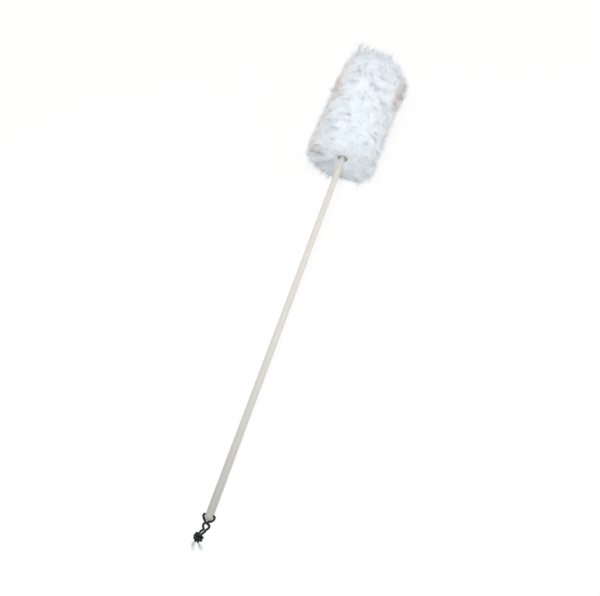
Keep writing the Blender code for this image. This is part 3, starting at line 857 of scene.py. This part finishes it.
def barbRibbons(row, chance):
    # barbs on both sides of every shaft, in clumps that curl alike
    plumes, each = len(row["angle"]), head["barbs"]
    first = row["firstBarb"]
    q = (np.arange(each) + 0.5) / each
    q = np.clip(q + chance.normal(0.0, 0.2 / each, (plumes, each)), 0.0, 1.0)
    places, tangent, side, front, out = plumeLines(row, first + (1.0 - first) * q)
    clump = head["barbClump"]
    clumps = chance.normal(0.0, 1.0, (plumes, 2, each // clump + 1, 3))
    clumps = clumps.repeat(clump, axis=2)[:, :, :each]
    alone = chance.normal(0.0, 1.0, (plumes, 2, each, 3))
    way = np.array([-1.0, 1.0])[None, :, None]
    q = q[:, None] * np.ones((1, 2, 1))
    wide, narrower = head["barbFan"]
    beta = np.radians(wide - narrower * q**1.1) + 0.12 * alone[..., 0] + 0.10 * clumps[..., 0]
    lift = 0.05 + 0.07 * clumps[..., 1] + 0.08 * alone[..., 1] * (1.3 - q)
    tangent, side, front, out = (v[:, None] for v in (tangent, side, front, out))
    base = places[:, None] + np.zeros((1, 2, 1, 1))
    aim = unit(
        tangent * np.cos(beta)[..., None]
        + side * (way * np.sin(beta))[..., None]
        + front * lift[..., None]
    )
    length = head["barbLength"] * (0.78 + 0.5 * np.sin(math.pi * (0.12 + 0.62 * q)))
    length = length * (1.0 - 0.42 * q**5) * (1.0 + 0.13 * alone[..., 2]) * row["barbScale"]
    t = stepShares(head["barbSteps"])
    bend = 0.34 * tangent - 0.20 * way[..., None] * side - 0.14 * front
    curl = 0.13 * clumps + 0.09 * alone[..., (2, 0, 1)]
    wave = 0.05 * alone * np.sin(2.2 * alone[..., :1])
    lines = base[..., None, :] + length[..., None, None] * (
        aim[..., None, :] * t
        + bend[..., None, :] * (t**2 * 0.6)
        + curl[..., None, :] * t**1.7
        + wave[..., None, :] * np.sin(t * 5.0)
    )
    uneven = 0.24 * alone[..., (1, 2, 0)]
    half = head["barbWidth"] / 2 * (1.0 - 0.72 * t[:, 0] ** 1.4)
    faces = ribbonsAlong(lines, uneven, half)
    return *faces, barbTones(row, chance, 2 * each, t, q.reshape(plumes, -1))


def downRibbons(row, chance):
    # soft down off the shafts' outer halves, which closes the gaps between the plumes
    plumes, each = len(row["angle"]), head["down"]
    q = chance.uniform(row["downFrom"], 0.97, (plumes, each))
    places, tangent, *_, out = plumeLines(row, q)
    free = chance.normal(0.0, 1.0, (plumes, each, 3))
    flat = unit(free - 0.8 * out * (free * out).sum(-1, keepdims=True) + 0.5 * tangent)
    curl = chance.normal(0.0, 0.22, (plumes, each, 3))
    length = head["downLength"] * chance.uniform(0.7, 1.2, (plumes, each, 1, 1))
    t = stepShares(head["downSteps"])
    lines = places[..., None, :] + length * (
        flat[..., None, :] * t + curl[..., None, :] * t**2 - 0.10 * out[..., None, :] * t**2
    )
    uneven = 0.25 * chance.normal(0.0, 1.0, (plumes, each, 3))
    half = head["downWidth"] / 2 * (1.0 - 0.75 * t[:, 0] ** 1.5)
    faces = ribbonsAlong(lines, uneven, half)
    return *faces, barbTones(row, chance, each, t, q)


def plumeBlades(row, chance):
    # each plume's dense vane: one soft leaf under its barbs, its edges drooping
    plumes, stations = len(row["angle"]), head["bladeSteps"]
    columns = head["bladeColumns"]
    first = row["bladeFrom"]
    share = np.linspace(0.0, 1.0, stations)
    shaftShare = (first + (row["bladeTo"] - first) * share) * np.ones((plumes, 1))
    places, tangent, side, front = plumeLines(row, shaftShare)[:4]
    w = np.linspace(-1.0, 1.0, columns)[:, None]
    width = head["bladeHalfWidth"] * row["barbScale"] * np.sqrt(1.0 - 0.97 * share**3)
    width = width * chance.uniform(0.85, 1.12, (plumes, 1))
    ripple = chance.uniform(0.0, 2 * math.pi, (plumes, 1, 1))
    edge = 1.0 + 0.10 * np.sin(9.0 * share[None, :, None] + 3.0 * w[:, 0] + ripple)
    wave = 0.0009 * np.sin(17.0 * share[None, :, None] - 7.0 * np.abs(w[:, 0]) + ripple)
    points = (
        places[:, :, None]
        + side[:, :, None] * ((width[..., None] * edge) * w[:, 0])[..., None]
        + front[:, :, None] * (wave - head["bladeDroop"] * w[:, 0] ** 2 - 0.0006)[..., None]
        + tangent[:, :, None] * (0.004 * np.abs(w) * (1.0 - share[:, None, None]))
    )
    one = gridQuads(stations, columns, False)
    wrong = (np.cross(side, tangent) * front).sum(-1).sum(-1) < 0
    quads = np.where(wrong[:, None, None], one[:, ::-1], one)
    quads = repeated(quads, plumes, stations * columns)
    aside = np.abs(w[:, 0])
    parts = [row["tone"][:, None, None], aside, 0.5, share[:, None] - 0.35 * aside]
    tone = spreadTone(parts, (plumes, stations, columns))
    return softSheet(points, quads, gridNormals(points), tone)


def downCushion(row, chance):
    # the dense down below a row's vanes: a soft uneven ring, which closes the head
    stations, columns = head["cushionSteps"], head["cushionColumns"]
    rims = row["cushion"]
    share = np.linspace(0.0, 1.0, stations)
    x, radius = (np.interp(share, np.linspace(0.0, 1.0, len(rims)), rims[:, k]) for k in (0, 1))
    turn = np.arange(columns) * 2 * math.pi / columns
    lumps = np.zeros((stations, columns))
    for waves in head["cushionWaves"]:
        phase, slant = chance.uniform(0.0, 2 * math.pi), chance.uniform(-6.0, 6.0)
        beat = (9.0 / waves) * np.sin(waves * turn + slant * share[:, None] + phase)
        lumps += beat * np.sin(share * waves * 0.35 + phase)[:, None]
    flat = np.stack([x, radius, 0 * x], -1)[:, None] + np.zeros((1, columns, 1))
    aim = outwardAt(flat)
    lift = head["cushionLumps"] * lumps * np.clip(radius / 0.05 - 0.6, 0.1, 1.0)[:, None]
    x, radius = flat[..., 0] + aim[..., 0] * lift, flat[..., 1] + aim[..., 1] * lift
    points = np.stack([x, radius * np.sin(turn), -radius * np.cos(turn)], -1)
    quads = gridQuads(stations, columns, True)
    own = gridNormals(points)
    if (own * outwardAt(points)).sum() < 0:
        quads = quads[:, ::-1]
    tone = spreadTone([0.3, 0.4, 0.5, share[:, None]], (stations, columns))
    return softSheet(points, quads, own, tone)


def headSurface():
    # the outer face's profile from the collar over the rim to the tip, with the run along it
    back = [(-0.0005, 0.0125), (-0.0035, 0.022), (-0.0055, 0.040), (-0.006, 0.058)]
    back += [(-0.004, 0.070), (0.003, 0.0775)]
    places = [(poleLength + x, radius) for x, radius in back]
    places += [outlineAt(distance) for distance in np.linspace(0.02, outlineLength(88.0), 70)]
    x, radius = np.array(places).T
    radius = np.minimum(radius, headRadius - 0.001)
    run = runOf(np.hypot(np.diff(x), np.diff(radius)))
    return run, x, radius, run[len(back) - 1]


def looseBarbs(row, chance):
    # loose barbs lying in swathes over the head's face, which hide where the vanes end
    run, xs, radii, rim = headSurface()
    low = rim + (row["place"] - 0.5) * row["rowStep"] if row["place"] else 0.0
    high = rim + (row["place"] + 0.5) * row["rowStep"]
    high = run[-1] if row["place"] == head["rows"] - 1 else min(high, run[-1])
    at = np.linspace(low, high, 400)
    size = np.interp(at, run, radii) * (1.0 + np.exp(-(((at - rim) / loose["denseReach"]) ** 2)))
    count = int(2 * math.pi * size.mean() * (high - low) * loose["toSquareMetre"])
    at = chance.choice(at, count, p=size / size.sum()) + chance.uniform(-0.0001, 0.0001, count)
    profile = (xs, radii, np.gradient(xs, run), np.gradient(radii, run))
    x, radius, slopeX, slopeRadius = (np.interp(at, run, line)[:, None] for line in profile)
    turn = chance.uniform(0.0, 2 * math.pi, count)
    out, around = aboutAxis(turn)
    forward, outer = ahead * slopeX + out * slopeRadius, out * slopeX - ahead * slopeRadius
    past = x[:, 0] - poleLength + chance.normal(0.0, 0.004, count)
    overhang = (past > loose["overhang"][0]) & (past < loose["overhang"][1])
    forward = forward * np.where(overhang, -1.0, 1.0)[:, None]
    sweep = 0.45 * np.sin(3.0 * turn + 70.0 * at) + 0.40 * np.sin(7.0 * turn - 110.0 * at + 2.0)
    sweep = sweep + chance.normal(0.0, loose["sweep"], count)
    rise = chance.uniform(*loose["rise"], count)
    rise += loose["strayRise"] * (chance.uniform(0.0, 1.0, count) < loose["strays"])
    aim = forward * np.cos(sweep)[:, None] + around * np.sin(sweep)[:, None]
    aim = unit(aim + outer * rise[:, None])
    base = ahead * x + out * radius - outer * loose["depth"]
    length = loose["length"] * chance.uniform(0.6, 1.15, (count, 1, 1))
    longer = np.where(overhang, loose["overhangLonger"], 1.0)
    longer = longer + loose["rimLonger"] * np.exp(-(((at - rim) / loose["rimReach"]) ** 2))
    length = length * longer[:, None, None]
    t = stepShares(loose["steps"])
    curl = chance.normal(0.0, 0.14, (count, 1, 3)) - 0.12 * outer[:, None]
    lines = base[:, None] + length * (aim[:, None] * t + curl * t**2)
    half = loose["width"] / 2 * (1.0 - 0.7 * t[:, 0] ** 1.4)
    uneven = 0.24 * chance.normal(0.0, 1.0, (count, 3))
    faces = ribbonsAlong(lines, uneven, half, loose["soft"])
    parts = [0.4, t, chance.uniform(0.0, 1.0, (count, 1, 1)), 0.5]
    return *faces, spreadTone(parts, (count, len(t), 2))


def cushionRims(i, rowStep):
    # (x, radius) along the under-layer's profile below row i
    depth = head["cushionDepth"]
    rims = []
    for step in np.linspace(-0.62, 0.62, 7):
        x, radius = outlineAt(max(i + step, 0.0) * rowStep)
        aim = outwardAt(np.array([x, radius, 0.0]))
        rims.append((x - aim[0] * depth, radius - aim[1] * depth))
    if i == 0:
        back = [(0.0012, 0.0120), (-0.0010, 0.020), (-0.0025, 0.038), (-0.0022, 0.058)]
        rims = [(poleLength + x, radius) for x, radius in back] + rims[3:]
    return np.array(rims)


def shaftTubes(row):
    shares = np.linspace(0.0, 0.99, head["shaftSteps"]) * np.ones((len(row["angle"]), 1))
    places = plumeLines(row, shares)[0]
    quill = places[:, :1].copy()
    quill[..., 0] = row["quillEnd"]
    lines = np.concatenate([quill, places], axis=1)
    share = np.concatenate([[0.0], shares[0]])
    radii = head["shaftThickness"] / 2 * (1.0 - 0.82 * share) * np.ones((len(lines), 1))
    points, quads = tubes(keepInHead(lines.reshape(-1, 3)).reshape(lines.shape), radii, 6)
    points[:, 2] = np.maximum(points[:, 2], limits["shaftFloor"])
    return points, quads


# plumes' materials: what all share, then what each has of its own
plumeWhite = {
    "shader": {"Roughness": 0.85, "Sheen Weight": 0.15, "Specular IOR Level": 0.25},
    "light": (0.918, 0.970, 1.0),
    "dark": (0.86, 0.90, 0.955),
    "cream": (0.93, 0.92, 0.90),
    # painted shade on the flanks
    "flankShade": (0.885, 0.835, 0.810),
    "tint": (0.78, 0.58, 0.45),
    # painted shade, laid into the folds and streaks
    "shade": (0.40, 0.44, 0.56),
    "mottle": (46.0, 2.4),  # scale and contrast
    "creamy": 0.5,
    "uneven": 0.0,
    "through": 0.1,
}
plumeFinishes = {
    "barbWhite": {"uneven": 1.0, "through": 0.5},
    "vaneWhite": {},
    "looseWhite": {
        "light": (0.930, 0.976, 1.0),
        "dark": (0.90, 0.935, 0.97),
        "uneven": 0.7,
    },
    "shaftWhite": {
        "shader": {"Roughness": 0.45, "Specular IOR Level": 0.4},
        "light": (0.90, 0.88, 0.82),
        "dark": (0.80, 0.77, 0.70),
        "cream": (0.84, 0.78, 0.68),
        # painted shade on the flanks
        "flankShade": (0.80, 0.73, 0.66),
        "tint": (0.50, 0.36, 0.26),
        "through": 0.2,
    },
}


def splitAttribute(tree, name):
    attribute = addNode(tree, "ShaderNodeAttribute", attribute_name=name)
    return addNode(tree, "ShaderNodeSeparateColor", {"Color": attribute.outputs["Color"]}).outputs


def shareOf(tree, value, least, most):
    values = {"Value": value, "From Min": least, "To Max": most}
    return addNode(tree, "ShaderNodeMapRange", values).outputs["Result"]


def plumeMaterial(name, changes):
    values = {**plumeWhite, **changes}
    material, tree, shader = newMaterial(name, values["shader"])
    tone, marks = splitAttribute(tree, "plumeTone"), splitAttribute(tree, "plumeTintAndShade")
    places = dusterPlaces(tree, (1.0, 1.0, 1.0))
    body = placeMottle(tree, places, values["light"], values["dark"], *values["mottle"])
    colour = body["Color"]
    # the marks lay on tan tints and painted shade: in the folds and streaks, and on the flanks
    for share, other in (
        (shareOf(tree, tone["Blue"], 0.4, values["uneven"]), "dark"),
        (shareOf(tree, tone["Red"], 0.55, values["creamy"]), "cream"),
        (marks["Blue"], "flankShade"),
        (marks["Green"], "tint"),
        (marks["Red"], "shade"),
    ):
        colour = mixColours(tree, share, colour, values[other])
    fillInputs(tree, shader, {"Base Color": colour})
    through = addNode(tree, "ShaderNodeBsdfTranslucent", {"Color": colour}).outputs[0]
    mixShaders(tree, "Material Output", values["through"], shader.outputs[0], through)
    return material


def givePointColours(mesh, name, colours):
    attribute = mesh.attributes.new(name, "FLOAT_COLOR", "POINT")
    attribute.data.foreach_set("color", colours.astype(np.float32).ravel())


def softPiece(name, row, chance, makers, material):
    parts = [make(row, chance) for make in makers]
    starts = np.cumsum([0] + [len(part[0]) for part in parts])
    quads = np.concatenate([part[1] + start for part, start in zip(parts, starts)])
    points, normals, tone = (np.concatenate([part[k] for part in parts]) for k in (0, 2, 3))
    piece = meshFrom(name, points, quads, material)
    piece.data.normals_split_custom_set_from_vertices(normals.astype(np.float32).tolist())
    places = fromFloor(points)
    marks = np.zeros((len(points), 4))
    # red: painted shade in the folds and streaks; green: tan tints; blue: painted shade on the
    # flanks
    marks[:, 0] = np.maximum(depthOf(places, foldsWithPaintedShade), depthOf(places, paintedShadeStreaks))
    marks[:, 1], marks[:, 2] = depthOf(places, tints), depthOf(places, paintedShadeFlanks)
    givePointColours(piece.data, "plumeTone", tone)
    givePointColours(piece.data, "plumeTintAndShade", marks)
    return piece


def eitherWay(chance, name, count):
    return chance.uniform(-plumeChance[name], plumeChance[name], count)


def plumeRow(i, rowStep, chance):
    # row i's shafts and plumes; the first two lean back as the skirt, the last is the tuft
    tuft, skirt = i == head["rows"], i < 2
    tip = (tipX, head["tuftRadius"]) if tuft else outlineAt(i * rowStep)
    leave, arrive, shift = rowLeans[i]
    count = max(10, round(head["plumes"] * tip[1] / headRadius))
    count = head["tuftPlumes"] if tuft else count
    pitch = 2 * math.pi / count
    band = poleLength + head["firstBand"] + i * head["bandStep"]
    side = -1.0 if skirt else 1.0
    root = band + side * head["quillBand"] / 2
    angle = (np.arange(count) + (0.5 if i % 2 == 0 else 0.0)) * pitch
    stretch = chance.uniform(*plumeChance["stretch"], count)
    slant = head["tipSlant"] * np.cos(angle - math.radians(122.0)) if i > 8 else 0.0
    if i in longPlumes:
        stretch[np.argmin(np.abs(turnApart(angle, longPlumes[i])))] = head["longPlume"]
    middle = tip[0] + shift + slant + (tip[0] - root) * (stretch - 1)
    return {
        "place": i,
        "rowStep": rowStep,
        "root": root,
        "quillEnd": band - side * head["quillBand"] / 2,
        "angle": angle + eitherWay(chance, "turn", count) * pitch,
        "wander": eitherWay(chance, "wander", count) * pitch,
        "twist": np.radians(chance.uniform(-1.0, 1.0, count)) * plumeChance["twist"][skirt],
        "tipX": middle + eitherWay(chance, "tip", count),
        "tipRadius": (tip[1] - head["tipInside"]) * stretch,
        "leave": np.radians(leave + eitherWay(chance, "leave", count)),
        "arrive": np.radians(arrive + eitherWay(chance, "arrive", count)),
        "tone": chance.uniform(0.0, 1.0, count),
        "firstBarb": 0.09 if skirt else 0.26,
        "downFrom": 0.2 if skirt else 0.5,
        "bladeFrom": 0.2 if skirt else 0.42,
        "bladeTo": 0.74 if skirt else head["bladeTo"],
        "cushion": cushionRims(i, rowStep),
        "barbScale": 0.8 if tuft or i == 0 else 1.0 if tip[1] > 0.06 else 0.85,
    }


def makePlumes():
    barb, vane, looseOne, shaft = (plumeMaterial(*finish) for finish in plumeFinishes.items())
    rowStep = outlineLength(head["domeRowsTo"]) / (head["rows"] - 1)
    faces = 0
    for i in range(head["rows"] + 1):
        chance = np.random.default_rng(700 + i)
        row = plumeRow(i, rowStep, chance)
        tuft = i == head["rows"]
        cadName = "tip_tuft" if tuft else f"plume_row_{i + 1:02d}"
        name = "tipTuft" if tuft else f"plumeRow{i + 1:02d}"
        pieces = [
            softPiece(name + "Barbs", row, chance, (barbRibbons, downRibbons), barb),
            softPiece(name + "Vanes", row, chance, (plumeBlades, downCushion), vane),
            meshFrom(name + "Shafts", *shaftTubes(row), shaft),
        ]
        if not tuft:
            pieces.append(softPiece(name + "Loose", row, chance, (looseBarbs,), looseOne))
        for piece in pieces:
            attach(piece, "duster")
            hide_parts(cadName)
            faces += len(piece.data.polygons)
    print("plumes made,", faces, "quads")


makePlumes()

# Pole: pale lacquered wood, a little darker towards the butt
pole = {
    "shader": {"Roughness": 0.42, "Coat Weight": 0.35, "Coat Roughness": 0.16},
    "wood": ((0.715, 0.690, 0.655), (0.605, 0.580, 0.545)),  # light and dark
    "patch": (0.72, 0.64, 0.56),
    "patchShare": 0.35,
    "towardsButt": (0.40, 0.385, 0.36),  # darker towards the butt
    "towardsButtFrom": 0.16,
    "towardsButtTo": -0.58,
    "towardsButtRise": 2.2,
    # stretch along the pole, scale and contrast
    "grain": (0.035, 620.0, 2.0),
    "patches": (0.35, 38.0, 3.0),
    "bump": (0.12, 0.0004),
}
plainFinishes = {
    "greyCollar": {
        "shader": {"Roughness": 0.5},
        "mottle": ((0.62, 0.63, 0.65), (0.50, 0.51, 0.53), 700.0, 1.5),
        "stretch": (1.0, 1.0, 1.0),
        "bump": (0.2, 0.0002),
    },
    "bindingThread": {
        "shader": {"Roughness": 0.8},
        "mottle": ((0.78, 0.75, 0.68), (0.50, 0.47, 0.41), 900.0, 3.0),
        "stretch": (1.0, 0.12, 0.12),
        "bump": (0.8, 0.0002),
    },
}


def poleMaterial():
    material, tree, shader = newMaterial("paleWood", pole["shader"])
    grain, patches = (
        placeMottle(tree, dusterPlaces(tree, (stretch, 1.0, 1.0)), *pole["wood"], *tone)
        for stretch, *tone in (pole["grain"], pole["patches"])
    )
    weak = calculate(tree, "MULTIPLY", patches["Mask"], pole["patchShare"])
    tinted = mixColours(tree, weak, grain["Color"], pole["patch"])
    along = addNode(tree, "ShaderNodeSeparateXYZ", {0: objectPlaces(tree)}).outputs["X"]
    values = {"Value": along, "From Min": pole["towardsButtFrom"], "From Max": pole["towardsButtTo"]}
    towardsButt = addNode(tree, "ShaderNodeMapRange", values).outputs["Result"]
    rise = calculate(tree, "POWER", towardsButt, pole["towardsButtRise"])
    colour = mixColours(tree, rise, tinted, pole["towardsButt"])
    normal = addBump(tree, grain["Mask"], *pole["bump"])
    fillInputs(tree, shader, {"Base Color": colour, "Normal": normal})
    return material


def finishNodes():
    wood = poleMaterial()
    grey, thread = (mottledMaterial(*finish) for finish in plainFinishes.items())
    for name, node in frame["nodes"].items():
        if not node.hide_render:
            node.data.materials.clear()
            finish = wood if name == "handle" else grey if name == "collar" else thread
            node.data.materials.append(finish)


finishNodes()
print("pole, collar and bindings finished")

# Floor and light
studio = {
    "floor": {
        "Base Color": (0.95, 0.94, 0.92),
        "Roughness": 0.9,
        "Specular IOR Level": 0.1,
    },
    "floorReach": 14.0,
    "floorDrop": 0.0002,  # below what lies on it
    "floorGlow": 0.85,  # share of it that the camera sees as plain white
    "white": {"Color": (1.0, 1.0, 1.0), "Strength": 1.0},
    "world": {"Color": (1.0, 0.985, 0.965), "Strength": 0.72},
    "lampColour": (0.93, 0.97, 1.0),
}
# power, place, size and what it points at
lamps = {
    "keyLamp": (47.0, (-1.1, -0.15, 3.0), 1.4, (0.15, 0.0, 0.05)),
    "fillLamp": (10.0, (1.4, -2.2, 2.2), 2.4, (0.0, 0.0, 0.05)),
}


def makeFloor():
    reach, z = studio["floorReach"], -studio["floorDrop"]
    points = [(-reach, -reach, z), (reach, -reach, z), (reach, reach, z), (-reach, reach, z)]
    material, tree, shader = newMaterial("paleFloor", studio["floor"])
    glow = addNode(tree, "ShaderNodeEmission", studio["white"]).outputs[0]
    seen = addNode(tree, "ShaderNodeLightPath").outputs["Is Camera Ray"]
    share = calculate(tree, "MULTIPLY", seen, studio["floorGlow"])
    mixShaders(tree, "Material Output", share, shader.outputs[0], glow)
    floor = meshFrom("paleFloor", points, [(0, 1, 2, 3)], material)


def areaLamp(name, power, place, size, target):
    data = bpy.data.lights.new(name, "AREA")
    data.energy, data.size, data.shape = power, size, "DISK"
    data.color = studio["lampColour"]
    lookAlong(newObject(name, data), place, Vector(target) - Vector(place))


def makeWorld():
    world = bpy.data.worlds.new("paleRoom")
    bpy.context.scene.world = world
    world.use_nodes = True
    tree = world.node_tree
    light = tree.nodes["Background"]
    fillInputs(tree, light, studio["world"])
    white = addNode(tree, "ShaderNodeBackground", studio["white"]).outputs[0]
    seen = addNode(tree, "ShaderNodeLightPath").outputs["Is Camera Ray"]
    mixShaders(tree, "World Output", seen, light.outputs[0], white)


makeFloor()
for name, values in lamps.items():
    areaLamp(name, *values)
makeWorld()
bpy.context.scene.view_settings.view_transform = "Standard"
print("floor and light set")
